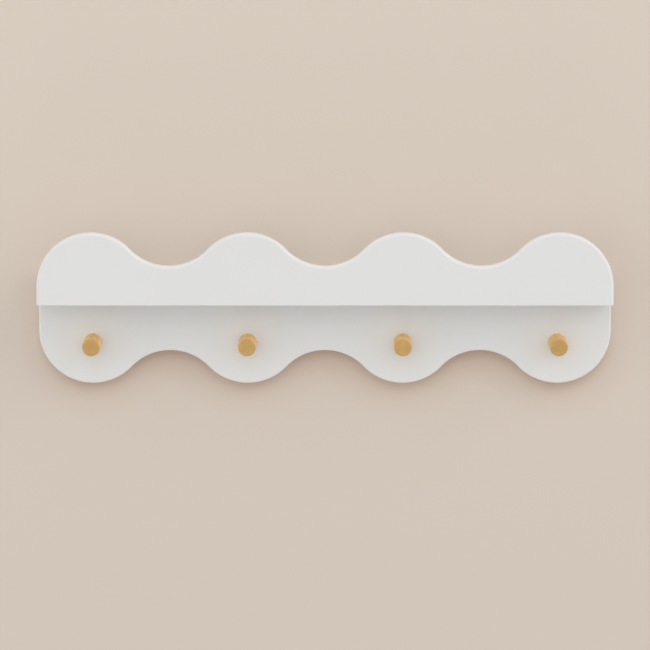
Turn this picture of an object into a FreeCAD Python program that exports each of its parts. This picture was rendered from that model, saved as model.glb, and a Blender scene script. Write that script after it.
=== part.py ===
import FreeCAD, Part
import math
import os

# Wall rail with four pegs and a picture-ledge shelf. Millimetres.
# The origin is the centre of the face that lies on the wall.
# +X runs to the right, +Z up, and the room is on the -Y side.

Vector = FreeCAD.Vector

# Wavy outline that the back board and the front lip are both cut to
bump_count = 4
bump_pitch = 162.5
bump_radius = 56.25
valley_depth = 34.7
side_height = 51.0

# Back board
board_thickness = 18.0
back_below_valley = 6.5
back_corner_round = 6.0
back_front_round = 2.0
back_rear_ease = 1.0

# Front lip and shelf plank
lip_thickness = 12.0
lip_height = 76.0
lip_front_round = 3.5
lip_bottom_ease = 1.0
lip_rear_ease = 1.5
trough_depth = 36.0
plank_thickness = 15.0
plank_end_ease = 1.0

# Pegs
peg_diameter = 19.0
peg_length = 41.0
peg_height = 43.0
peg_front_round = 1.6

# Wood screws, for the pegs and for the shelf plank
screw_diameter = 4.0
screw_core_diameter = 2.8
screw_head_diameter = 8.0
screw_head_height = 2.6
screw_sink = 0.4
screw_thread_pitch = 2.0
screw_tip_length = 4.0
peg_screw_bite = 25.0
shelf_screw_bite = 22.0
shelf_screw_count = 5
shelf_screw_inset = 40.0

# Dowels between the shelf plank and the lip
dowel_diameter = 8.0
dowel_in_lip = 8.0
dowel_in_plank = 16.0
dowel_chamfer = 0.8

# Keyhole hanger plates, let into the rear face
hanger_spacing = 390.0
hanger_below_top = 36.0
plate_width = 16.0
plate_height = 60.0
plate_thickness = 2.0
plate_sink = 0.2
entry_radius = 4.75
slot_width = 5.0
slot_travel = 8.0
plate_screw_inset = 7.0

# Round hole behind each plate, drilled about its entry, in which the wall screw's head slides up
head_hole_margin = 0.5
head_hole_depth = 8.0

# Screws that hold the hanger plates
plate_screw_diameter = 3.2
plate_screw_core_diameter = 2.2
plate_screw_head_diameter = 6.2
plate_screw_head_height = 1.8
plate_screw_bite = 11.0
plate_screw_thread_pitch = 1.4
plate_screw_tip_length = 2.5

# Cross recess in a screw head, as shares of the head
recess_width_share = 0.14
recess_span_share = 0.60
recess_depth_share = 0.62

# Fits
screw_clearance = 0.05
dowel_clearance = 0.05
plate_clearance = 0.3
hole_end_gap = 0.5
overrun = 5.0
touch = 0.001

# Places worked out from the sizes above
half_width = (bump_count - 1) * bump_pitch / 2 + bump_radius
row_z = side_height / 2
top_z = row_z + bump_radius
valley_z = top_z - valley_depth
centre_distance = ((bump_pitch / 2) ** 2 + valley_depth ** 2) / (2 * valley_depth)
valley_radius = centre_distance - bump_radius
valley_centre_z = valley_z + valley_radius

back_top_z = valley_z - back_below_valley
back_front_y = -board_thickness
lip_rear_y = back_front_y - trough_depth
lip_front_y = lip_rear_y - lip_thickness
lip_bottom_z = top_z - lip_height
plank_top_z = lip_bottom_z + plank_thickness
plank_mid_z = lip_bottom_z + plank_thickness / 2
peg_z = peg_height - top_z
hanger_z = back_top_z - hanger_below_top
plate_screw_reach = plate_height / 2 - plate_screw_inset
entry_z = hanger_z - slot_travel / 2
head_hole_radius = slot_travel + entry_radius + head_hole_margin
plate_floor_y = -(plate_sink + plate_thickness)
head_hole_floor_y = plate_floor_y - head_hole_depth

into_room = Vector(0, -1, 0)


def bump_places():
    first = -(bump_count - 1) * bump_pitch / 2
    return [first + i * bump_pitch for i in range(bump_count)]


def shelf_screw_places():
    first = -(half_width - shelf_screw_inset)
    step = -2 * first / (shelf_screw_count - 1)
    return [first + i * step for i in range(shelf_screw_count)]


def dowel_places():
    screws = shelf_screw_places()
    return [(a + b) / 2 for a, b in zip(screws, screws[1:])]


def arc(start, middle, end):
    return Part.Arc(start, middle, end).toShape()


def line(start, end):
    return Part.LineSegment(start, end).toShape()


def wave_edges(side):
    """Arcs from the left end to the right end, along the top (side 1) or the bottom (side -1)."""
    share = bump_radius / centre_distance
    edges = []
    start = Vector(-half_width, 0, side * row_z)
    places = bump_places()
    for index, x in enumerate(places):
        crest = Vector(x, 0, side * top_z)
        if index == len(places) - 1:
            edges.append(arc(start, crest, Vector(half_width, 0, side * row_z)))
            break
        valley_x = x + bump_pitch / 2
        meet_x = share * bump_pitch / 2
        meet_z = side * (row_z + share * (valley_centre_z - row_z))
        leave = Vector(x + meet_x, 0, meet_z)
        enter = Vector(x + bump_pitch - meet_x, 0, meet_z)
        edges.append(arc(start, crest, leave))
        edges.append(arc(leave, Vector(valley_x, 0, side * valley_z), enter))
        start = enter
    return edges


def wavy_blank(rear_y, thickness):
    """The whole outline, bumps above and below, as one board."""
    left = line(Vector(-half_width, 0, -row_z), Vector(-half_width, 0, row_z))
    right = line(Vector(half_width, 0, row_z), Vector(half_width, 0, -row_z))
    outline = Part.sortEdges([left] + wave_edges(1) + [right] + wave_edges(-1))[0]
    face = Part.Face(Part.Wire(outline))
    board = face.extrude(into_room * thickness)
    board.translate(Vector(0, rear_y, 0))
    return board


def band(low_z, high_z):
    """A block across the whole object between two heights, used to trim the blanks."""
    low = Vector(-half_width - overrun, lip_front_y - overrun, low_z)
    return Part.makeBox(2 * (half_width + overrun), 2 * overrun - lip_front_y, high_z - low_z, low)


def edges_where(shape, test):
    """Edges with both ends and the middle at places that pass the test."""
    found = []
    for edge in shape.Edges:
        first, last = edge.ParameterRange
        points = [edge.valueAt(p) for p in (first, (first + last) / 2, last)]
        if all(test(point) for point in points):
            found.append(edge)
    return found


def at(value, place):
    return abs(value - place) < touch


def rod(radius, length, start, direction=into_room):
    return Part.makeCylinder(radius, length, start, direction)


def screw_profile(size, length, grow):
    """Half section of a flat-head wood screw, as (radius, depth) from the top of its head."""
    outer = size["outer"] / 2 + grow
    core = size["core"] / 2 + grow
    head = size["head"] / 2 + grow
    points = [(0, 0), (head, 0), (outer, size["head_height"])]
    if grow > 0:
        return points + [(outer, length + hole_end_gap), (0, length + hole_end_gap)]
    start = size["head_height"] + size["pitch"]
    turns = int((length - size["tip"] - start) / size["pitch"])
    points.append((outer, start))
    points.append((core, start))
    for turn in range(turns):
        root = start + turn * size["pitch"]
        points.append((outer, root + size["pitch"] / 2))
        points.append((core, root + size["pitch"]))
    points.append((core, length - size["tip"]))
    points.append((0, length))
    return points


def turned(points, place):
    """A half section turned about the line that runs from the place into the room."""
    section = [place + Vector(radius, -depth, 0) for radius, depth in points]
    wire = Part.makePolygon(section + [section[0]])
    return Part.Face(wire).revolve(place, into_room, 360)


def wood_screw(size, length, place):
    body = turned(screw_profile(size, length, 0), place)
    width = size["head"] * recess_width_share
    span = size["head"] * recess_span_share
    depth = size["head_height"] * recess_depth_share
    low_y = place.y - depth
    tall = depth + overrun
    upright = Part.makeBox(width, tall, span, Vector(place.x - width / 2, low_y, place.z - span / 2))
    level = Part.makeBox(span, tall, width, Vector(place.x - span / 2, low_y, place.z - width / 2))
    return body.cut(upright.fuse(level))


def screw_hole(size, length, place):
    """The screw's own space with its clearance, opened out to the wall face."""
    hole = turned(screw_profile(size, length, screw_clearance), place)
    mouth = rod(size["head"] / 2 + screw_clearance, overrun, place, -into_room)
    return hole.fuse(mouth)


def stadium(radius, low, high, x, rear_y, depth):
    """An upright slot with round ends, cut or raised from rear_y towards the room."""
    lower = rod(radius, depth, Vector(x, rear_y, low))
    upper = rod(radius, depth, Vector(x, rear_y, high))
    middle = Part.makeBox(2 * radius, depth, high - low, Vector(x - radius, rear_y - depth, low))
    return lower.fuse([middle, upper]).removeSplitter()


board_screw = {
    "outer": screw_diameter, "core": screw_core_diameter, "head": screw_head_diameter,
    "head_height": screw_head_height, "pitch": screw_thread_pitch, "tip": screw_tip_length,
}
plate_screw = {
    "outer": plate_screw_diameter, "core": plate_screw_core_diameter,
    "head": plate_screw_head_diameter, "head_height": plate_screw_head_height,
    "pitch": plate_screw_thread_pitch, "tip": plate_screw_tip_length,
}
peg_screw_length = board_thickness - screw_sink + peg_screw_bite
shelf_screw_length = board_thickness - screw_sink + shelf_screw_bite
plate_screw_length = plate_thickness + plate_screw_bite


def peg_screw_place(x):
    return Vector(x, -screw_sink, peg_z)


def shelf_screw_place(x):
    return Vector(x, -screw_sink, plank_mid_z)


def plate_screw_places(x):
    upper = Vector(x, -plate_sink, hanger_z + plate_screw_reach)
    lower = Vector(x, -plate_sink, hanger_z - plate_screw_reach)
    return [upper, lower]


def hanger_pocket(x):
    """Recess for one hanger plate, with the deeper round hole for the wall screw's head."""
    half = plate_height / 2 - plate_width / 2
    grown = plate_width / 2 + plate_clearance
    recess = stadium(grown, hanger_z - half, hanger_z + half, x, overrun, overrun - plate_floor_y)
    hole = rod(head_hole_radius, overrun - head_hole_floor_y, Vector(x, overrun, entry_z))
    cuts = [recess, hole]
    for place in plate_screw_places(x):
        cuts.append(screw_hole(plate_screw, plate_screw_length, place))
    return cuts


def back_board():
    board = wavy_blank(0, board_thickness)
    board = board.cut(band(back_top_z, top_z + overrun))
    corners = edges_where(board, lambda p: at(p.z, back_top_z) and abs(p.x) > half_width - bump_radius)
    board = board.makeFillet(back_corner_round, corners)
    board = board.makeFillet(back_front_round, edges_where(board, lambda p: at(p.y, back_front_y)))
    board = board.makeFillet(back_rear_ease, edges_where(board, lambda p: at(p.y, 0)))
    cuts = []
    for x in bump_places():
        cuts.append(screw_hole(board_screw, peg_screw_length, peg_screw_place(x)))
    for x in shelf_screw_places():
        cuts.append(screw_hole(board_screw, shelf_screw_length, shelf_screw_place(x)))
    for x in (-hanger_spacing / 2, hanger_spacing / 2):
        cuts += hanger_pocket(x)
    return board.cut(cuts)


def front_lip():
    lip = wavy_blank(lip_rear_y, lip_thickness)
    lip = lip.cut(band(-top_z - overrun, lip_bottom_z))
    front = edges_where(lip, lambda p: at(p.y, lip_front_y))
    lip = lip.makeFillet(lip_front_round, [e for e in front if not at(e.CenterOfMass.z, lip_bottom_z)])
    rear = edges_where(lip, lambda p: at(p.y, lip_rear_y))
    lip = lip.makeFillet(lip_rear_ease, [e for e in rear if not at(e.CenterOfMass.z, lip_bottom_z)])
    bottom = edges_where(lip, lambda p: at(p.z, lip_bottom_z) and not at(p.y, lip_rear_y))
    lip = lip.makeFillet(lip_bottom_ease, bottom)
    depth = dowel_in_lip + hole_end_gap
    cuts = []
    for x in dowel_places():
        mouth = Vector(x, lip_rear_y + overrun, plank_mid_z)
        cuts.append(rod(dowel_diameter / 2 + dowel_clearance, depth + overrun, mouth))
    return lip.cut(cuts)


def shelf_plank():
    low = Vector(-half_width, lip_rear_y, lip_bottom_z)
    plank = Part.makeBox(2 * half_width, trough_depth, plank_thickness, low)
    ends = edges_where(plank, lambda p: at(abs(p.x), half_width))
    long_ends = [e for e in ends if at(e.CenterOfMass.y, (lip_rear_y + back_front_y) / 2)]
    plank = plank.makeFillet(plank_end_ease, long_ends)
    cuts = []
    for x in shelf_screw_places():
        cuts.append(screw_hole(board_screw, shelf_screw_length, shelf_screw_place(x)))
    for x in dowel_places():
        mouth = Vector(x, lip_rear_y - overrun, plank_mid_z)
        depth = overrun + dowel_in_plank + hole_end_gap
        cuts.append(rod(dowel_diameter / 2 + dowel_clearance, depth, mouth, -into_room))
    return plank.cut(cuts)


def peg(x):
    base = Vector(x, back_front_y, peg_z)
    body = rod(peg_diameter / 2, peg_length, base)
    rim = edges_where(body, lambda p: at(p.y, back_front_y - peg_length))
    body = body.makeFillet(peg_front_round, rim)
    return body.cut(screw_hole(board_screw, peg_screw_length, peg_screw_place(x)))


def lip_dowel(x):
    front = Vector(x, lip_rear_y - dowel_in_lip, plank_mid_z)
    body = rod(dowel_diameter / 2, dowel_in_lip + dowel_in_plank, front, -into_room)
    rear_y = lip_rear_y + dowel_in_plank
    ends = edges_where(body, lambda p: at(p.y, front.y) or at(p.y, rear_y))
    return body.makeChamfer(dowel_chamfer, ends)


def keyhole_plate(x):
    half = plate_height / 2 - plate_width / 2
    plate = stadium(plate_width / 2, hanger_z - half, hanger_z + half, x, -plate_sink, plate_thickness)
    through = plate_thickness + 2 * overrun
    slot = stadium(slot_width / 2, entry_z, entry_z + slot_travel, x, overrun, through)
    entry = rod(entry_radius, through, Vector(x, overrun, entry_z))
    cuts = [slot, entry]
    for place in plate_screw_places(x):
        cuts.append(screw_hole(plate_screw, plate_screw_length, place))
    return plate.cut(cuts)


def save(name, shape):
    solids = shape.Solids
    shape = solids[0] if len(solids) == 1 else shape
    print(name, "solids", len(solids), "valid", shape.isValid(), "volume", round(shape.Volume, 1))
    shape.exportStep("parts/" + name + ".step")


os.makedirs("parts", exist_ok=True)
save("back_board", back_board())
save("front_lip", front_lip())
save("shelf_plank", shelf_plank())

for number, x in enumerate(bump_places(), 1):
    save("peg_%d" % number, peg(x))
    save("peg_screw_%d" % number, wood_screw(board_screw, peg_screw_length, peg_screw_place(x)))

for number, x in enumerate(shelf_screw_places(), 1):
    save("shelf_screw_%d" % number, wood_screw(board_screw, shelf_screw_length, shelf_screw_place(x)))

for number, x in enumerate(dowel_places(), 1):
    save("lip_dowel_%d" % number, lip_dowel(x))

for name, x in (("left", -hanger_spacing / 2), ("right", hanger_spacing / 2)):
    save("keyhole_plate_" + name, keyhole_plate(x))
    for level, place in zip(("upper", "lower"), plate_screw_places(x)):
        save("plate_screw_%s_%s" % (name, level), wood_screw(plate_screw, plate_screw_length, place))
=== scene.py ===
import math

import bmesh
import bpy
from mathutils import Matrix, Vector


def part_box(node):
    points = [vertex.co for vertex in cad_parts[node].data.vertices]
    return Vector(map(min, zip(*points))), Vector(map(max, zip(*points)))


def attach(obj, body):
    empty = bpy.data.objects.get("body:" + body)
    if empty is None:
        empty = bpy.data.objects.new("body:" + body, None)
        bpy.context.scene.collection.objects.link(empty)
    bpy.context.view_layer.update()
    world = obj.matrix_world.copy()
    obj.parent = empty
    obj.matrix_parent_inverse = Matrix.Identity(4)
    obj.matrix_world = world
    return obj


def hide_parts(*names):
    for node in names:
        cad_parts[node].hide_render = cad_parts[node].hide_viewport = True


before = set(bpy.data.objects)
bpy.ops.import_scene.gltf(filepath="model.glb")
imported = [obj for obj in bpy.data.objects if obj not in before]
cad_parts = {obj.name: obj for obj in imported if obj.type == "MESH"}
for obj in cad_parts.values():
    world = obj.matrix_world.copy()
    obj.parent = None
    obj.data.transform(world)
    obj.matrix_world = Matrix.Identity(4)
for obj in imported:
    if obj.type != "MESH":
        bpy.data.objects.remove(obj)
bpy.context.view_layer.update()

# Wavy wall rail with a trough shelf and four round pegs. Metres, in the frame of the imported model:
# the wall face is the plane Y = 0, the room is on the -Y side, +X to the right and +Z up.

MM = 0.001

# Pieces of the frame
PEGS = ["peg_%d" % number for number in (1, 2, 3, 4)]
PEG_SCREWS = ["peg_screw_%d" % number for number in (1, 2, 3, 4)]
SHELF_SCREWS = ["shelf_screw_%d" % number for number in (1, 2, 3, 4, 5)]
HANGER_PLATES = ["keyhole_plate_left", "keyhole_plate_right"]
PLATE_SCREWS = [
    "plate_screw_%s_%s" % (side, level)
    for side in ("left", "right") for level in ("upper", "lower")
]
DOWELS = ["lip_dowel_%d" % number for number in (1, 2, 3, 4)]

# Places of the boards and pegs, read from the frame
BOARD_LOW, BOARD_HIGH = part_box("back_board")
LIP_LOW, LIP_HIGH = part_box("front_lip")
PLANK_LOW, PLANK_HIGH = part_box("shelf_plank")
PEG_BOXES = [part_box(name) for name in PEGS]
PEG_CENTRES = [(low + high) / 2 for low, high in PEG_BOXES]

HALF_WIDTH = LIP_HIGH.x
TOP_Z = LIP_HIGH.z
BUMP_X = [centre.x for centre in PEG_CENTRES]
BUMP_PITCH = BUMP_X[1] - BUMP_X[0]
BUMP_RADIUS = HALF_WIDTH + BUMP_X[0]
ROW_Z = TOP_Z - BUMP_RADIUS
BACK_TOP_Z = BOARD_HIGH.z

# Sizes of the outline and its edges that the boxes don't hold
VALLEY_DEPTH = 34.7 * MM
CORNER_ROUND = 6.0 * MM
BACK_FRONT_ROUND = 2.0 * MM
BACK_REAR_EASE = 1.0 * MM
LIP_FRONT_ROUND = 3.5 * MM
LIP_REAR_EASE = 1.5 * MM
LIP_BOTTOM_EASE = 1.0 * MM
PLANK_END_EASE = 1.0 * MM
PEG_FRONT_ROUND = 1.6 * MM
PEG_BASE_EASE = 0.25 * MM

# Circles of the wavy outline
CENTRE_DISTANCE = ((BUMP_PITCH / 2) ** 2 + VALLEY_DEPTH ** 2) / (2 * VALLEY_DEPTH)
VALLEY_RADIUS = CENTRE_DISTANCE - BUMP_RADIUS
VALLEY_CENTRE_Z = TOP_Z - VALLEY_DEPTH + VALLEY_RADIUS
MEET_ANGLE = math.atan2(VALLEY_CENTRE_Z - ROW_Z, BUMP_PITCH / 2)

# Screw holes and hanger pockets in the rear of the back board
SCREW_HEAD_RADIUS = 4.05 * MM
SCREW_HEAD_HEIGHT = 2.6 * MM
SCREW_RADIUS = 2.05 * MM
PLATE_GROWTH = 0.3 * MM
HEAD_HOLE_RADIUS = 13.25 * MM
HEAD_HOLE_DEPTH = 8.0 * MM
SLOT_TRAVEL = 8.0 * MM
OVERRUN = 3.0 * MM

# How finely arcs, rounded edges and turned pieces are divided
ARC_STEP = math.radians(1.5)
FEWEST_ARC_STEPS = 2
ROUND_SEGMENTS = 8
EASE_SEGMENTS = 4
PEG_BASE_SEGMENTS = 2
TURNED_SIDES = 96
SCREW_HOLE_SIDES = 48

# The profile of a bevel that is part of a circle, and the corner up to which a surface looks smooth
CIRCLE_PROFILE = 0.5
SMOOTH_ANGLE = math.radians(40)

# How close two values count as one place, and how close two corners are merged
SAME_PLACE = 0.01 * MM
SAME_POINT = 0.005 * MM

WHITE = (1, 1, 1, 1)
WHOLE_SPAN = (0.0, 1.0)

# Finishes. Their colours are pairs of a place from 0 to 1 and a colour in linear light. A noise is how
# many of its clouds go to the metre and how many finer layers it has. A relief is its strength and depth.
PAINT_COLOURS = ((0.3, (0.800, 0.796, 0.785, 1)), (0.7, (0.812, 0.808, 0.798, 1)))
PAINT_CLOUDS = (9.0, 3.0)
PAINT_PEEL = (550.0, 2.0)
PAINT_RELIEF = (0.06, 0.1 * MM)
PAINT_ROUGHNESS = (0.55, 0.65)
PAINT_SHINE = 0.25

BARE_BOARD_COLOURS = ((0.35, (0.30, 0.19, 0.10, 1)), (0.65, (0.46, 0.31, 0.18, 1)))
BARE_BOARD_FIBRES = (900.0, 4.0)
BARE_BOARD_RELIEF = (0.5, 0.1 * MM)
BARE_BOARD_ROUGHNESS = 0.85

ZINC_COLOURS = ((0.35, (0.55, 0.56, 0.58, 1)), (0.65, (0.66, 0.67, 0.67, 1)))
ZINC_GRAINS = (700.0, 3.0)
ZINC_ROUGHNESS = (0.28, 0.46)

# Beech: long grain along the pegs' sides, end grain on their fronts. The long grain is lighter than the
# end grain, and its colours also hold painted light, which makes the pegs' sides lighter still
LONG_GRAIN_PAINTED_LIGHT_COLOURS = ((0.0, (0.905, 0.568, 0.185, 1)), (1.0, (0.640, 0.360, 0.095, 1)))
END_GRAIN_COLOURS = ((0.0, (0.648, 0.404, 0.150, 1)), (1.0, (0.402, 0.216, 0.060, 1)))
END_GRAIN_FACING = (0.30, 0.70)
BEECH_ROUGHNESS = (0.30, 0.40)
BEECH_SHINE = 0.04
BEECH_RELIEF = (0.35, 0.05 * MM)

# Oil on the beech, by how far a place faces along the grain: none on the sides, most on the rim
OIL_COAT = ((0.0, 0.0), (0.20, 1.0), (0.92, 1.0), (1.0, 0.3))
OIL_IOR = 1.7
OIL_ROUGHNESS = 0.28

# Yearly rings: how dark a year gets from its spring to its winter, and how many years they wander
YEAR_WIDTH = 2.9 * MM
YEAR_TONES = ((0.0, 0.25), (0.12, 0.0), (0.60, 0.25), (0.90, 1.0), (1.0, 0.35))
YEAR_DARKNESS = 0.30
YEARS_WANDERED = 2.2

# Noises in the beech, each with what is left of a length along the grain, which draws the noise out
RING_WANDER = (0.2, (45.0, 2.0))
PORES = (0.02, (3200.0, 2.0))
FLECKS = (0.14, (1500.0, 1.0))
CLOUDS = (0.3, (130.0, 2.0))

# How dark each of them makes the beech: a span of the noise, and the darkness at its two ends
PORE_DARKNESS = ((0.35, 0.65), (0.0, 0.22))
FLECK_DARKNESS = ((0.64, 0.72), (0.0, 0.40))
CLOUD_DARKNESS = ((0.3, 0.7), (-0.10, 0.20))
PORE_ROUGH_SPAN = (0.3, 0.7)

# Where the heart of the tree lies from the middle of each peg, and from the origin for the dowels
PEG_HEARTS = [
    Vector((31 * MM, 10 * MM, 36 * MM)),
    Vector((-38 * MM, 90 * MM, 36 * MM)),
    Vector((-27 * MM, 160 * MM, -44 * MM)),
    Vector((-34 * MM, 240 * MM, 57 * MM)),
]
DOWEL_HEART = Vector((0, 0, -60 * MM))

# Wall: it stands just behind the boards and has an opening a little smaller than the back board
WALL_SIZE = 9.0
WALL_MIDDLE_Z = 2.5
WALL_GAP = 0.05 * MM
WALL_OPENING_INSET = 1.1 * MM
OPENING_REACH = 10 * MM
# Painted light: the wall's colour grows paler upwards, from the low colour to the high one, over this
# distance below and above Z = 0
WALL_FADE = 300 * MM
WALL_LOW_COLOUR = (0.71, 0.615, 0.535, 1)
WALL_HIGH_COLOUR = (0.755, 0.665, 0.575, 1)

# A painted shadow on the wall close to the boards: how far and towards which side it looks for them, how
# open it is where it is darkest and where it is plain, how the dark grows between the two, and its tint
WALL_SHADOW_REACH = 40 * MM
WALL_SHADOW_TOWARDS = (0.0, -0.3, 0.95)
WALL_SHADOW_SAMPLES = 16
WALL_SHADOW_OPENNESS = (0.3, 1.0)
WALL_SHADOW_CURVE = 1.7
WALL_SHADOW_TINT = (0.85, 0.72, 0.64, 1)

# Floor: below everything and in front of the wall
FLOOR_SIZE = 9.0
FLOOR_Z = -2.0
FLOOR_COLOUR = (0.80, 0.78, 0.75, 1)

# How bright it is behind the wall, which lights only the rear of the boards: evenly, and more from above
LIGHT_BEHIND_EVEN = 0.70
LIGHT_BEHIND_ABOVE = 0.35
LIGHT_BEHIND_TOWARDS = (0, 0.3, 1)

# How bright the room is towards some sides: each a direction, how narrow it is, and its strength
LIGHT_SIDES = (
    # Broad, from the right, from the left and from the room
    ((1, 0, 0), 1.0, 0.73),
    ((-1, 0, 0), 1.0, 0.92),
    ((0, -1, 0), 4.0, 0.56),
    # Narrower, from the room at the height of the rail and above it
    ((-0.7, -0.7, 0), 12.0, 0.12),
    ((0, -0.87, 0.5), 12.0, 1.36),
    ((0.62, -0.58, 0.53), 12.0, 0.10),
    ((-0.62, -0.58, 0.53), 12.0, 0.42),
    # The main light, from the upper right
    ((0.76, -0.33, 0.56), 30.0, 3.3),
    # Close to the wall, from above, right, below and left, for the boards' edges
    ((0, -0.12, 1), 30.0, 1.6),
    ((1, -0.12, 0), 30.0, 2.7),
    ((0, -0.12, -1), 30.0, 2.95),
    ((-1, -0.12, 0), 30.0, 1.7),
)

# How bright the plain ground is beyond the wall and the floor
GROUND_BRIGHTNESS = 0.9

# Camera: looks down on the rail by a small angle through a long lens
PHOTO_WIDTH = 650
FOCAL_PIXELS = 4890.85
CAMERA_DISTANCE = 5.1328
CAMERA_TILT = math.radians(7.0854)
CAMERA_AIM = Vector((0, BOARD_LOW.y, -20.25 * MM))
CAMERA_REACH = 50.0
SENSOR_WIDTH = 36.0

# Numbers of a Mix node's two inputs and of its output, because their names are the same for both kinds
MIX_SOCKETS = {"FLOAT": (2, 3, 0), "RGBA": (6, 7, 2)}

# What goes into the beech group and what comes out of it
BEECH_SOCKETS = (
    ("Place", "INPUT", "NodeSocketVector"),
    ("Facing", "INPUT", "NodeSocketVector"),
    ("Color", "OUTPUT", "NodeSocketColor"),
    ("Roughness", "OUTPUT", "NodeSocketFloat"),
    ("Coat", "OUTPUT", "NodeSocketFloat"),
    ("Height", "OUTPUT", "NodeSocketFloat"),
)

# How far apart neighbouring nodes are drawn
NODE_STEP = 200


def select_only(piece):
    bpy.ops.object.select_all(action="DESELECT")
    piece.select_set(True)
    bpy.context.view_layer.objects.active = piece


def open_mesh(piece):
    select_only(piece)
    bpy.ops.object.mode_set(mode="EDIT")


def close_mesh():
    bpy.ops.object.mode_set(mode="OBJECT")


def near(value, place):
    return abs(value - place) < SAME_PLACE


def lies_at(part, axis, place):
    """Whether an edge or a face has all its corners at a place on the axis."""
    return all(near(getattr(vert.co, axis), place) for vert in part.verts)


def pick(kind, test):
    """Selects those vertices, edges or faces of the open mesh that pass the test."""
    bpy.ops.mesh.select_mode(type=kind)
    bpy.ops.mesh.select_all(action="DESELECT")
    mesh = bmesh.from_edit_mesh(bpy.context.edit_object.data)
    parts = {"VERT": mesh.verts, "EDGE": mesh.edges, "FACE": mesh.faces}
    for part in parts[kind]:
        part.select_set(test(part))
    bmesh.update_edit_mesh(bpy.context.edit_object.data)


def round_edges(test, radius, segments):
    """Rounds those edges of the open mesh that pass the test."""
    pick("EDGE", test)
    bpy.ops.mesh.bevel(
        offset=radius, offset_type="OFFSET", segments=segments, profile=CIRCLE_PROFILE,
        affect="EDGES", clamp_overlap=False, loop_slide=True,
    )


def start_outline(name, place):
    """A new piece that is a single point, open for the outline to be drawn from it."""
    bpy.ops.object.select_all(action="DESELECT")
    bpy.ops.mesh.primitive_plane_add(size=MM, location=place)
    bpy.ops.object.transform_apply(location=True)
    piece = bpy.context.object
    piece.name = name
    bpy.ops.object.mode_set(mode="EDIT")
    bpy.ops.mesh.select_mode(type="VERT")
    bpy.ops.mesh.select_all(action="SELECT")
    bpy.ops.mesh.merge(type="CENTER")
    return piece


def draw_line(x, z):
    """Carries the outline straight on, by x and z."""
    bpy.ops.mesh.extrude_region_move(TRANSFORM_OT_translate={"value": (x, 0, z)})


def draw_arc(x, y, z, turn):
    """Carries the outline round a centre: clockwise, as seen from the room, for a positive turn."""
    steps = max(FEWEST_ARC_STEPS, round(abs(turn) / ARC_STEP))
    bpy.ops.mesh.spin(steps=steps, angle=turn, center=(x, y, z), axis=(0, -1, 0))


def draw_wave(y, side):
    """The four bumps and three valleys: left to right on top (side 1), right to left below (side -1)."""
    end_turn = math.pi - MEET_ANGLE
    bump_turn = math.pi - 2 * MEET_ANGLE
    for index, x in enumerate(BUMP_X):
        first_or_last = index in (0, len(BUMP_X) - 1)
        draw_arc(side * x, y, side * ROW_Z, end_turn if first_or_last else bump_turn)
        if index < len(BUMP_X) - 1:
            valley_x = side * (x + BUMP_PITCH / 2)
            draw_arc(valley_x, y, side * VALLEY_CENTRE_Z, -bump_turn)


def thicken_outline(thickness):
    """Closes the open outline, fills it and draws it out towards the room."""
    bpy.ops.mesh.select_all(action="SELECT")
    bpy.ops.mesh.remove_doubles(threshold=SAME_POINT)
    bpy.ops.mesh.select_all(action="SELECT")
    bpy.ops.mesh.edge_face_add()
    bpy.ops.mesh.extrude_region_move(TRANSFORM_OT_translate={"value": (0, -thickness, 0)})
    bpy.ops.mesh.select_all(action="SELECT")
    bpy.ops.mesh.normals_make_consistent(inside=False)


def round_bar(radius, rear_y, front_y, x, z, sides):
    """A plain round bar that lies along Y."""
    bpy.ops.object.select_all(action="DESELECT")
    middle = (x, (rear_y + front_y) / 2, z)
    bpy.ops.mesh.primitive_cylinder_add(
        vertices=sides, radius=radius, depth=rear_y - front_y, location=middle,
        rotation=(math.pi / 2, 0, 0),
    )
    bpy.ops.object.transform_apply(location=True, rotation=True)
    return bpy.context.object


def copied(piece, name, shift):
    """A copy of a piece with its own mesh, moved by shift."""
    select_only(piece)
    bpy.ops.object.duplicate()
    copy = bpy.context.object
    copy.name = name
    bpy.ops.transform.translate(value=shift)
    bpy.ops.object.transform_apply(location=True)
    return copy


def cut(piece, cutter):
    """Takes the cutter out of the piece and removes it."""
    select_only(piece)
    hollow = piece.modifiers.new("hollow", "BOOLEAN")
    hollow.operation = "DIFFERENCE"
    hollow.solver = "EXACT"
    hollow.material_mode = "TRANSFER"
    hollow.object = cutter
    bpy.ops.object.modifier_apply(modifier=hollow.name)
    bpy.data.objects.remove(cutter)


def cut_each(piece, cutter, places, finish):
    """Cuts with the cutter, which stands at the first place, and with a copy of it at each other one."""
    cutter.data.materials.append(finish)
    cutters = [cutter]
    for place in places[1:]:
        cutters.append(copied(cutter, cutter.name, place - places[0]))
    for one in cutters:
        cut(piece, one)


def finish_piece(piece, node):
    """Smooths the rounded edges, keeps the flat faces flat and hangs the piece on the frame."""
    select_only(piece)
    bpy.ops.object.shade_smooth_by_angle(angle=SMOOTH_ANGLE)
    weighted = piece.modifiers.new("flat_faces", "WEIGHTED_NORMAL")
    weighted.keep_sharp = True
    bpy.ops.object.modifier_apply(modifier=weighted.name)
    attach(piece, "root")
    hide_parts(node)


def rear_middle(name):
    """The middle of the rear end of one of the frame's pieces."""
    low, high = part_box(name)
    return Vector(((low.x + high.x) / 2, high.y, (low.z + high.z) / 2))


def plate_pocket_cutter():
    """The first hanger plate's pocket: upright with round ends, a little larger than the plate."""
    low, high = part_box(HANGER_PLATES[0])
    middle = (low + high) / 2
    plate_radius = (high.x - low.x) / 2
    reach = (high.z - low.z) / 2 - plate_radius
    radius = plate_radius + PLATE_GROWTH
    piece = start_outline("plate_pocket", (middle.x - radius, OVERRUN, middle.z - reach))
    draw_line(0, 2 * reach)
    draw_arc(middle.x, OVERRUN, middle.z + reach, math.pi)
    draw_line(0, -2 * reach)
    draw_arc(middle.x, OVERRUN, middle.z - reach, math.pi)
    thicken_outline(OVERRUN - low.y)
    close_mesh()
    return piece


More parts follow.
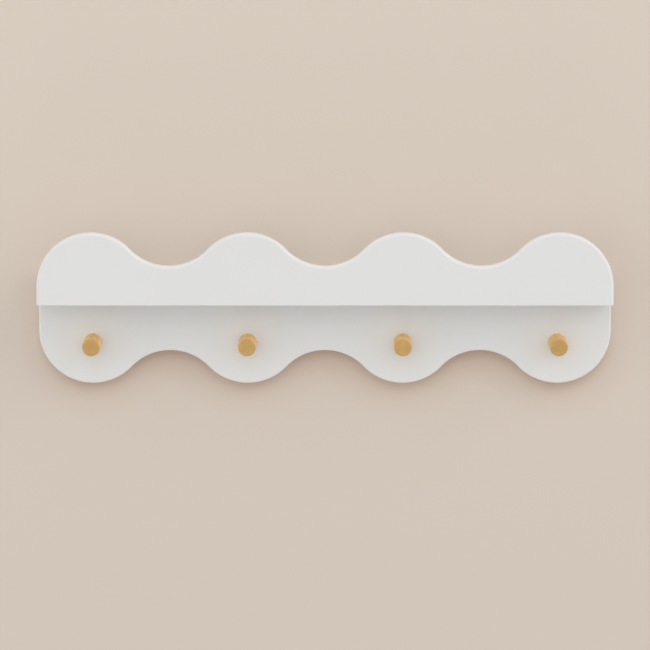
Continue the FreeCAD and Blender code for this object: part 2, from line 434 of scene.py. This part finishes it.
def head_hole_cutter():
    """The round hole behind the first hanger plate, in which the wall screw's head slides up."""
    low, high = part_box(HANGER_PLATES[0])
    middle = (low + high) / 2
    floor_y = low.y - HEAD_HOLE_DEPTH
    hole_z = middle.z - SLOT_TRAVEL / 2
    return round_bar(HEAD_HOLE_RADIUS, OVERRUN, floor_y, middle.x, hole_z, TURNED_SIDES)


def screw_hole_cutter(mouth, front_y):
    """A countersunk hole from the rear face: mouth, cone and shank in one turned shape."""
    piece = round_bar(SCREW_HEAD_RADIUS, OVERRUN, mouth.y, mouth.x, mouth.z, SCREW_HOLE_SIDES)
    open_mesh(piece)
    pick("FACE", lambda face: lies_at(face, "y", mouth.y))
    bpy.ops.mesh.extrude_region_move(TRANSFORM_OT_translate={"value": (0, -SCREW_HEAD_HEIGHT, 0)})
    narrowing = SCREW_RADIUS / SCREW_HEAD_RADIUS
    bpy.ops.transform.resize(value=(narrowing, 1, narrowing), center_override=tuple(mouth))
    shank_length = mouth.y - SCREW_HEAD_HEIGHT - front_y
    bpy.ops.mesh.extrude_region_move(TRANSFORM_OT_translate={"value": (0, -shank_length, 0)})
    close_mesh()
    return piece


def board_blank(name, rear_y, front_y, inset):
    """The back board's outline as a plain slab, smaller by inset all round, with its mesh left open."""
    inner = BUMP_RADIUS - CORNER_ROUND
    rise = BACK_TOP_Z - CORNER_ROUND - ROW_Z
    corner_turn = math.acos(rise / inner)
    corner_reach = math.sqrt(inner ** 2 - rise ** 2)
    left_corner = BUMP_X[0] - corner_reach
    piece = start_outline(name, (-HALF_WIDTH + inset, rear_y, -ROW_Z))
    draw_line(0, 2 * ROW_Z)
    draw_arc(BUMP_X[0], rear_y, ROW_Z, math.pi / 2 - corner_turn)
    draw_arc(left_corner, rear_y, BACK_TOP_Z - CORNER_ROUND, corner_turn)
    draw_line(-2 * left_corner, 0)
    draw_arc(-left_corner, rear_y, BACK_TOP_Z - CORNER_ROUND, corner_turn)
    draw_arc(BUMP_X[-1], rear_y, ROW_Z, math.pi / 2 - corner_turn)
    draw_line(0, -2 * ROW_Z)
    draw_wave(rear_y, -1)
    thicken_outline(rear_y - front_y)
    return piece


def back_board(paint, bare_board):
    """The wavy back board, with pockets for the hanger plates and holes for the screws in its rear."""
    rear_y = BOARD_HIGH.y
    front_y = BOARD_LOW.y
    piece = board_blank("back_board_painted", rear_y, front_y, 0)
    round_edges(lambda edge: lies_at(edge, "y", front_y), BACK_FRONT_ROUND, ROUND_SEGMENTS)
    round_edges(lambda edge: lies_at(edge, "y", rear_y), BACK_REAR_EASE, EASE_SEGMENTS)
    close_mesh()
    piece.data.materials.append(paint)
    plates = [rear_middle(name) for name in HANGER_PLATES]
    screws = [rear_middle(name) for name in PEG_SCREWS + SHELF_SCREWS]
    cut_each(piece, plate_pocket_cutter(), plates, bare_board)
    cut_each(piece, head_hole_cutter(), plates, bare_board)
    cut_each(piece, screw_hole_cutter(screws[0], front_y - OVERRUN), screws, bare_board)
    finish_piece(piece, "back_board")


def front_lip(paint):
    """The front of the shelf, wavy above and straight below."""
    rear_y = LIP_HIGH.y
    front_y = LIP_LOW.y
    bottom = LIP_LOW.z
    piece = start_outline("front_lip_painted", (-HALF_WIDTH, rear_y, bottom))
    draw_line(0, ROW_Z - bottom)
    draw_wave(rear_y, 1)
    draw_line(0, bottom - ROW_Z)
    thicken_outline(rear_y - front_y)

    def round_outline(y, radius, segments):
        """Rounds the outline at y, apart from its straight lower edge."""
        round_edges(
            lambda edge: lies_at(edge, "y", y) and not lies_at(edge, "z", bottom),
            radius, segments,
        )

    round_outline(front_y, LIP_FRONT_ROUND, ROUND_SEGMENTS)
    round_outline(rear_y, LIP_REAR_EASE, EASE_SEGMENTS)
    round_edges(
        lambda edge: lies_at(edge, "z", bottom) and not lies_at(edge, "y", rear_y),
        LIP_BOTTOM_EASE, EASE_SEGMENTS,
    )
    close_mesh()
    piece.data.materials.append(paint)
    finish_piece(piece, "front_lip")


def shelf_plank(paint):
    """The narrow board between the back board and the lip, eased where it ends at the left and right."""
    low, high = PLANK_LOW, PLANK_HIGH
    bpy.ops.object.select_all(action="DESELECT")
    bpy.ops.mesh.primitive_cube_add(size=1, location=(low + high) / 2, scale=high - low)
    bpy.ops.object.transform_apply(location=True, scale=True)
    piece = bpy.context.object
    piece.name = "shelf_plank_painted"
    open_mesh(piece)

    def at_an_end(edge, axis):
        """Whether an edge lies at the plank's low or high end along the axis."""
        return any(lies_at(edge, axis, getattr(corner, axis)) for corner in (low, high))

    round_edges(
        lambda edge: at_an_end(edge, "x") and at_an_end(edge, "z"),
        PLANK_END_EASE, EASE_SEGMENTS,
    )
    close_mesh()
    piece.data.materials.append(paint)
    finish_piece(piece, "shelf_plank")


def turned_peg(name, box):
    """A plain round peg, with a rounded front rim and a hardly eased base on the board."""
    low, high = box
    centre = (low + high) / 2
    piece = round_bar((high.x - low.x) / 2, high.y, low.y, centre.x, centre.z, TURNED_SIDES)
    piece.name = name
    open_mesh(piece)
    round_edges(lambda edge: lies_at(edge, "y", low.y), PEG_FRONT_ROUND, ROUND_SEGMENTS)
    round_edges(lambda edge: lies_at(edge, "y", high.y), PEG_BASE_EASE, PEG_BASE_SEGMENTS)
    close_mesh()
    return piece


def row_of_pegs(beech):
    """The four pegs: one is turned, the others are copies, and each has its own grain."""
    first = turned_peg(PEGS[0] + "_turned", PEG_BOXES[0])
    pegs = [first]
    for name, centre in zip(PEGS[1:], PEG_CENTRES[1:]):
        pegs.append(copied(first, name + "_turned", centre - PEG_CENTRES[0]))
    for piece, name, centre, heart in zip(pegs, PEGS, PEG_CENTRES, PEG_HEARTS):
        piece.data.materials.append(beech_material("peg_wood_" + name, centre + heart, beech))
        finish_piece(piece, name)


def dress(names, material):
    """Gives pieces of the frame a finish and leaves their shapes as they are."""
    for name in names:
        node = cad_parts[name]
        node.data.materials.clear()
        node.data.materials.append(material)


def new_material(name):
    """A new material, its node tree and its shader."""
    material = bpy.data.materials.new(name)
    material.use_nodes = True
    tree = material.node_tree
    return material, tree, tree.nodes["Principled BSDF"]


def add(tree, kind, place, **values):
    """A new node at its place on the tree's sheet, with its settings."""
    node = tree.nodes.new(kind)
    node.location = place
    for name, value in values.items():
        setattr(node, name, value)
    return node


def feed(tree, socket, value):
    """Links a socket to another node's output, or sets it to a plain number or colour."""
    if isinstance(value, bpy.types.NodeSocket):
        tree.links.new(value, socket)
    else:
        socket.default_value = value


def calculate(tree, operation, place, *values):
    """The result of a sum with plain numbers or other nodes' outputs."""
    node = add(tree, "ShaderNodeMath", place, operation=operation)
    for socket, value in zip(node.inputs, values):
        feed(tree, socket, value)
    return node.outputs[0]


def carry_over(tree, value, span, results, place):
    """The value's place within a span, carried over to the results, which hold beyond its ends."""
    node = add(tree, "ShaderNodeMapRange", place)
    for socket, number in zip(("From Min", "From Max", "To Min", "To Max"), span + results):
        node.inputs[socket].default_value = number
    tree.links.new(value, node.inputs["Value"])
    return node.outputs["Result"]


def greys(tones):
    """Pairs of a place and a tone, as pairs of a place and a grey."""
    return [(position, (tone, tone, tone, 1)) for position, tone in tones]


def colour_ramp(tree, value, stops, place):
    """The colour at a value's place between the stops, which are pairs of a place and a colour."""
    node = add(tree, "ShaderNodeValToRGB", place)
    elements = node.color_ramp.elements
    elements[0].position, elements[0].color = stops[0]
    elements[1].position, elements[1].color = stops[-1]
    for position, colour in stops[1:-1]:
        elements.new(position).color = colour
    tree.links.new(value, node.inputs["Fac"])
    return node.outputs["Color"]


def mix(tree, kind, share, first, second, place, blend="MIX"):
    """Two numbers or two colours mixed, with a share of the second."""
    node = add(tree, "ShaderNodeMix", place, data_type=kind, blend_type=blend)
    first_socket, second_socket, result = MIX_SOCKETS[kind]
    feed(tree, node.inputs["Factor"], share)
    feed(tree, node.inputs[first_socket], first)
    feed(tree, node.inputs[second_socket], second)
    return node.outputs[result]


def noise(tree, where, kind, place):
    """Cloudy noise, of one of the kinds named among the finishes."""
    scale, layers = kind
    node = add(tree, "ShaderNodeTexNoise", place)
    node.inputs["Scale"].default_value = scale
    node.inputs["Detail"].default_value = layers
    tree.links.new(where, node.inputs["Vector"])
    return node.outputs["Fac"]


def relief(tree, height, kind, place):
    """Small bumps and hollows, of one of the reliefs named among the finishes."""
    strength, depth = kind
    node = add(tree, "ShaderNodeBump", place)
    node.inputs["Strength"].default_value = strength
    node.inputs["Distance"].default_value = depth
    tree.links.new(height, node.inputs["Height"])
    return node.outputs["Normal"]


def paint_material():
    """Satin white paint, sprayed on smooth board: a faint orange peel and hardly any colour change."""
    material, tree, shader = new_material("satin_white_paint")
    shader.inputs["Specular IOR Level"].default_value = PAINT_SHINE
    where = add(tree, "ShaderNodeTexCoord", (-1200, 0)).outputs["Object"]
    clouds = noise(tree, where, PAINT_CLOUDS, (-900, 100))
    peel = noise(tree, where, PAINT_PEEL, (-900, -300))
    colour = colour_ramp(tree, clouds, PAINT_COLOURS, (-600, 200))
    roughness = carry_over(tree, clouds, WHOLE_SPAN, PAINT_ROUGHNESS, (-600, -50))
    tree.links.new(colour, shader.inputs["Base Color"])
    tree.links.new(roughness, shader.inputs["Roughness"])
    tree.links.new(relief(tree, peel, PAINT_RELIEF, (-300, -300)), shader.inputs["Normal"])
    return material


def bare_board_material():
    """Bare fibreboard where a cutter went through the paint."""
    material, tree, shader = new_material("bare_fibreboard")
    shader.inputs["Roughness"].default_value = BARE_BOARD_ROUGHNESS
    where = add(tree, "ShaderNodeTexCoord", (-1200, 0)).outputs["Object"]
    fibres = noise(tree, where, BARE_BOARD_FIBRES, (-900, 0))
    colour = colour_ramp(tree, fibres, BARE_BOARD_COLOURS, (-600, 0))
    tree.links.new(colour, shader.inputs["Base Color"])
    tree.links.new(relief(tree, fibres, BARE_BOARD_RELIEF, (-300, -300)), shader.inputs["Normal"])
    return material


def zinc_material():
    """Bright zinc plate: a cool metal whose shine changes a little from place to place."""
    material, tree, shader = new_material("bright_zinc")
    shader.inputs["Metallic"].default_value = 1.0
    where = add(tree, "ShaderNodeTexCoord", (-1100, 0)).outputs["Object"]
    grains = noise(tree, where, ZINC_GRAINS, (-900, 0))
    colour = colour_ramp(tree, grains, ZINC_COLOURS, (-600, 200))
    roughness = carry_over(tree, grains, WHOLE_SPAN, ZINC_ROUGHNESS, (-600, -100))
    tree.links.new(colour, shader.inputs["Base Color"])
    tree.links.new(roughness, shader.inputs["Roughness"])
    return material


def beech_group():
    """Light beech that grew along Y about a heart at the origin: yearly rings, pores, short flecks and
    clouds. The cut ends, where Facing is along Y, are darker than the long grain, whose colour is also
    made lighter by painted light on the pegs' sides. The rounded rim between them holds the most oil,
    so it has the thickest coat."""
    group = bpy.data.node_groups.new("beech", "ShaderNodeTree")
    for name, side, kind in BEECH_SOCKETS:
        group.interface.new_socket(name=name, in_out=side, socket_type=kind)
    source = add(group, "NodeGroupInput", (-1800, 0))
    result = add(group, "NodeGroupOutput", (800, 0))

    def along_grain(drawn_out_noise, place):
        """A noise that is drawn out along the grain."""
        length_left, kind = drawn_out_noise
        x, y = place
        shortened = add(group, "ShaderNodeVectorMath", (x - NODE_STEP, y), operation="MULTIPLY")
        shortened.inputs[1].default_value = (1, length_left, 1)
        group.links.new(source.outputs["Place"], shortened.inputs[0])
        return noise(group, shortened.outputs["Vector"], kind, place)

    wander = along_grain(RING_WANDER, (-1300, 500))
    pores = along_grain(PORES, (-1300, 0))
    flecks = along_grain(FLECKS, (-1300, -300))
    clouds = along_grain(CLOUDS, (-1300, -600))

    across = add(group, "ShaderNodeVectorMath", (-1500, 250), operation="MULTIPLY")
    across.inputs[1].default_value = (1, 0, 1)
    reach = add(group, "ShaderNodeVectorMath", (-1300, 250), operation="LENGTH")
    group.links.new(source.outputs["Place"], across.inputs[0])
    group.links.new(across.outputs["Vector"], reach.inputs[0])
    grown = calculate(group, "MULTIPLY", (-1100, 250), reach.outputs["Value"], 1 / YEAR_WIDTH)
    wandered = calculate(group, "MULTIPLY", (-1100, 500), wander, YEARS_WANDERED)
    years = calculate(group, "ADD", (-900, 350), grown, wandered)
    season = calculate(group, "FRACT", (-700, 350), years)
    tone = colour_ramp(group, season, greys(YEAR_TONES), (-500, 350))

    darkness = calculate(group, "MULTIPLY", (-200, 350), tone, YEAR_DARKNESS)
    layers = (
        (pores, PORE_DARKNESS, 0),
        (flecks, FLECK_DARKNESS, -300),
        (clouds, CLOUD_DARKNESS, -600),
    )
    for layer, (span, tones), y in layers:
        shade = carry_over(group, layer, span, tones, (-900, y))
        darkness = calculate(group, "ADD", (-200, y), darkness, shade)

    facing = add(group, "ShaderNodeSeparateXYZ", (-200, -800))
    group.links.new(source.outputs["Facing"], facing.inputs[0])
    endwise = calculate(group, "ABSOLUTE", (0, -800), facing.outputs["Y"])
    end_share = carry_over(group, endwise, END_GRAIN_FACING, WHOLE_SPAN, (250, -500))
    # Long grain: its own lighter tone, and painted light on the pegs' sides
    long_grain_painted_light = colour_ramp(group, darkness, LONG_GRAIN_PAINTED_LIGHT_COLOURS, (250, 500))
    end_grain = colour_ramp(group, darkness, END_GRAIN_COLOURS, (250, 250))
    results = {
        "Color": mix(group, "RGBA", end_share, long_grain_painted_light, end_grain, (550, 250)),
        "Roughness": carry_over(group, pores, PORE_ROUGH_SPAN, BEECH_ROUGHNESS, (250, 0)),
        "Coat": colour_ramp(group, endwise, greys(OIL_COAT), (250, -800)),
        "Height": calculate(group, "MULTIPLY", (250, -250), darkness, -1.0),
    }
    for name, value in results.items():
        group.links.new(value, result.inputs[name])
    return group


def beech_material(name, heart, beech):
    """Oiled beech from its own place in a tree, whose heart runs through the point given."""
    material, tree, shader = new_material(name)
    shader.inputs["Specular IOR Level"].default_value = BEECH_SHINE
    shader.inputs["Coat IOR"].default_value = OIL_IOR
    shader.inputs["Coat Roughness"].default_value = OIL_ROUGHNESS
    place = add(tree, "ShaderNodeTexCoord", (-900, 0))
    shift = add(tree, "ShaderNodeMapping", (-700, 0))
    shift.inputs["Location"].default_value = -heart
    grain = add(tree, "ShaderNodeGroup", (-500, 0), node_tree=beech)
    tree.links.new(place.outputs["Object"], shift.inputs["Vector"])
    tree.links.new(shift.outputs["Vector"], grain.inputs["Place"])
    tree.links.new(place.outputs["Normal"], grain.inputs["Facing"])
    tree.links.new(grain.outputs["Color"], shader.inputs["Base Color"])
    tree.links.new(grain.outputs["Roughness"], shader.inputs["Roughness"])
    tree.links.new(grain.outputs["Coat"], shader.inputs["Coat Weight"])
    bumps = relief(tree, grain.outputs["Height"], BEECH_RELIEF, (-250, -250))
    tree.links.new(bumps, shader.inputs["Normal"])
    return material


def show_front_only(tree, finish, share=None):
    """Shows a finish on the front of a surface, or only a share of it, and nothing from behind."""
    geometry = add(tree, "ShaderNodeNewGeometry", (-800, 0))
    seen = calculate(tree, "SUBTRACT", (-600, 0), 1.0, geometry.outputs["Backfacing"])
    if share is not None:
        seen = calculate(tree, "MULTIPLY", (-400, 200), share, seen)
    clear = add(tree, "ShaderNodeBsdfTransparent", (-400, 0))
    either = add(tree, "ShaderNodeMixShader", (-200, 0))
    tree.links.new(seen, either.inputs[0])
    tree.links.new(clear.outputs[0], either.inputs[1])
    tree.links.new(finish.outputs[0], either.inputs[2])
    tree.links.new(either.outputs[0], tree.nodes["Material Output"].inputs["Surface"])


def wall_material():
    """Matt warm wall, with painted light that makes it a little paler upwards, and a painted shadow that
    makes it darker and warmer close to the boards.
    """
    material, tree, shader = new_material("wall_matt")
    tree.nodes.remove(shader)
    place = add(tree, "ShaderNodeTexCoord", (-1600, -300))
    parts = add(tree, "ShaderNodeSeparateXYZ", (-1400, -300))
    tree.links.new(place.outputs["Object"], parts.inputs[0])
    # Painted light: the wall is a little paler upwards
    height = carry_over(tree, parts.outputs["Z"], (-WALL_FADE, WALL_FADE), WHOLE_SPAN, (-1200, -300))
    plain = mix(tree, "RGBA", height, WALL_LOW_COLOUR, WALL_HIGH_COLOUR, (-1000, -300))
    # Painted shadow: the wall is darker and warmer where the boards hide it, most of all below them
    towards = add(tree, "ShaderNodeCombineXYZ", (-1600, -600))
    for socket, number in zip(towards.inputs, WALL_SHADOW_TOWARDS):
        socket.default_value = number
    openness = add(tree, "ShaderNodeAmbientOcclusion", (-1400, -600), samples=WALL_SHADOW_SAMPLES)
    openness.inputs["Distance"].default_value = WALL_SHADOW_REACH
    tree.links.new(towards.outputs[0], openness.inputs["Normal"])
    hidden = carry_over(tree, openness.outputs["AO"], WALL_SHADOW_OPENNESS, (1.0, 0.0), (-1200, -600))
    depth = calculate(tree, "POWER", (-1000, -600), hidden, WALL_SHADOW_CURVE)
    shadow = mix(tree, "RGBA", depth, WHITE, WALL_SHADOW_TINT, (-800, -600))
    colour = mix(tree, "RGBA", 1.0, plain, shadow, (-600, -400), blend="MULTIPLY")
    matt = add(tree, "ShaderNodeBsdfDiffuse", (-400, -150))
    tree.links.new(colour, matt.inputs["Color"])
    show_front_only(tree, matt)
    return material


def mirrored_rays(tree, path, place):
    """1 for rays that left a mirror or passed through glass, and 0 for others."""
    glossy = path.outputs["Is Glossy Ray"]
    through_glass = path.outputs["Is Transmission Ray"]
    return calculate(tree, "MAXIMUM", place, glossy, through_glass)


def floor_material():
    """A pale floor for the camera and for mirrored rays, through which the light from below passes."""
    material, tree, shader = new_material("floor_matt")
    tree.nodes.remove(shader)
    matt = add(tree, "ShaderNodeBsdfDiffuse", (-400, -150))
    matt.inputs["Color"].default_value = FLOOR_COLOUR
    path = add(tree, "ShaderNodeLightPath", (-1200, 300))
    mirrored = mirrored_rays(tree, path, (-1000, 300))
    seen = calculate(tree, "MAXIMUM", (-800, 300), path.outputs["Is Camera Ray"], mirrored)
    show_front_only(tree, matt, seen)
    return material


def stage_plane(name, size, location, rotation, material):
    """A flat square of the stage."""
    bpy.ops.object.select_all(action="DESELECT")
    bpy.ops.mesh.primitive_plane_add(size=size, location=location, rotation=rotation)
    bpy.ops.object.transform_apply(location=True, rotation=True)
    piece = bpy.context.object
    piece.name = name
    piece.data.materials.append(material)
    return piece


def build_wall():
    """The wall, open behind the back board, which hides the opening, so that light reaches its rear."""
    middle = (0, WALL_GAP, WALL_MIDDLE_Z)
    wall = stage_plane("wall", WALL_SIZE, middle, (math.pi / 2, 0, 0), wall_material())
    opening = board_blank("opening", OPENING_REACH, -OPENING_REACH, WALL_OPENING_INSET)
    close_mesh()
    cut(wall, opening)
    # The cut leaves a closed pocket in the opening, so all that lies behind the wall is taken away
    open_mesh(wall)
    pick("VERT", lambda vert: vert.co.y > WALL_GAP + MM)
    bpy.ops.mesh.delete(type="VERT")
    close_mesh()


def set_world():
    """A soft room in front of the wall, brighter towards some sides, and a soft light behind it.
    The camera sees a plain pale ground instead, and so does the metal on the rear."""
    world = bpy.data.worlds.new("studio")
    bpy.context.scene.world = world
    world.use_nodes = True
    tree = world.node_tree
    direction = add(tree, "ShaderNodeTexCoord", (-2000, 0)).outputs["Generated"]

    def towards(side, y):
        """How far a direction turns to a side: 1 straight towards it, and 0 across it or away."""
        turned = add(tree, "ShaderNodeVectorMath", (-1800, y), operation="DOT_PRODUCT")
        turned.inputs[1].default_value = Vector(side).normalized()
        tree.links.new(direction, turned.inputs[0])
        return calculate(tree, "MAXIMUM", (-1600, y), turned.outputs["Value"], 0.0)

    lights = []
    for index, (side, narrowness, strength) in enumerate(LIGHT_SIDES):
        y = -NODE_STEP * (index + 1)
        spread = calculate(tree, "POWER", (-1400, y), towards(side, y), narrowness)
        lights.append(calculate(tree, "MULTIPLY", (-1200, y), spread, strength))
    sky = lights[0]
    for index, light in enumerate(lights[1:]):
        sky = calculate(tree, "ADD", (-1000, -NODE_STEP * (index + 2)), sky, light)

    in_front = calculate(tree, "GREATER_THAN", (-1400, 0), towards((0, -1, 0), 0), 0.0)
    in_rear = calculate(tree, "SUBTRACT", (-1200, 0), 1.0, in_front)
    ahead = calculate(tree, "MULTIPLY", (-800, 0), sky, in_front)
    overhead = towards(LIGHT_BEHIND_TOWARDS, 200)
    above = calculate(tree, "MULTIPLY", (-1400, 200), overhead, LIGHT_BEHIND_ABOVE)
    behind = calculate(tree, "ADD", (-1200, 200), above, LIGHT_BEHIND_EVEN)
    behind = calculate(tree, "MULTIPLY", (-1000, 200), behind, in_rear)
    light = calculate(tree, "ADD", (-600, 0), ahead, behind)

    path = add(tree, "ShaderNodeLightPath", (-1400, 500))
    mirrored = mirrored_rays(tree, path, (-1200, 500))
    mirrored = calculate(tree, "MULTIPLY", (-1000, 500), mirrored, in_rear)
    plain = calculate(tree, "MAXIMUM", (-800, 500), path.outputs["Is Camera Ray"], mirrored)
    brightness = mix(tree, "FLOAT", plain, light, GROUND_BRIGHTNESS, (-300, 0))
    background = tree.nodes["Background"]
    background.inputs["Color"].default_value = WHITE
    tree.links.new(brightness, background.inputs["Strength"])


def set_camera():
    """A long lens that looks at the rail from the photograph's side and height."""
    data = bpy.data.cameras.new("camera")
    data.sensor_width = SENSOR_WIDTH
    data.lens = FOCAL_PIXELS * SENSOR_WIDTH / PHOTO_WIDTH
    data.clip_end = CAMERA_REACH
    camera = bpy.data.objects.new("camera", data)
    bpy.context.scene.collection.objects.link(camera)
    back = Vector((0, -math.cos(CAMERA_TILT), math.sin(CAMERA_TILT)))
    camera.location = CAMERA_AIM + back * CAMERA_DISTANCE
    camera.rotation_euler = (-back).to_track_quat("-Z", "Y").to_euler()
    bpy.context.scene.camera = camera


paint = paint_material()
bare_board = bare_board_material()
zinc = zinc_material()
beech = beech_group()

back_board(paint, bare_board)
front_lip(paint)
shelf_plank(paint)
row_of_pegs(beech)
dress(PEG_SCREWS + SHELF_SCREWS + HANGER_PLATES + PLATE_SCREWS, zinc)
dress(DOWELS, beech_material("peg_wood_dowel", DOWEL_HEART, beech))

build_wall()
stage_plane("floor", FLOOR_SIZE, (0, -FLOOR_SIZE / 2, FLOOR_Z), (0, 0, 0), floor_material())
set_world()
set_camera()
bpy.context.scene.view_settings.view_transform = "Standard"
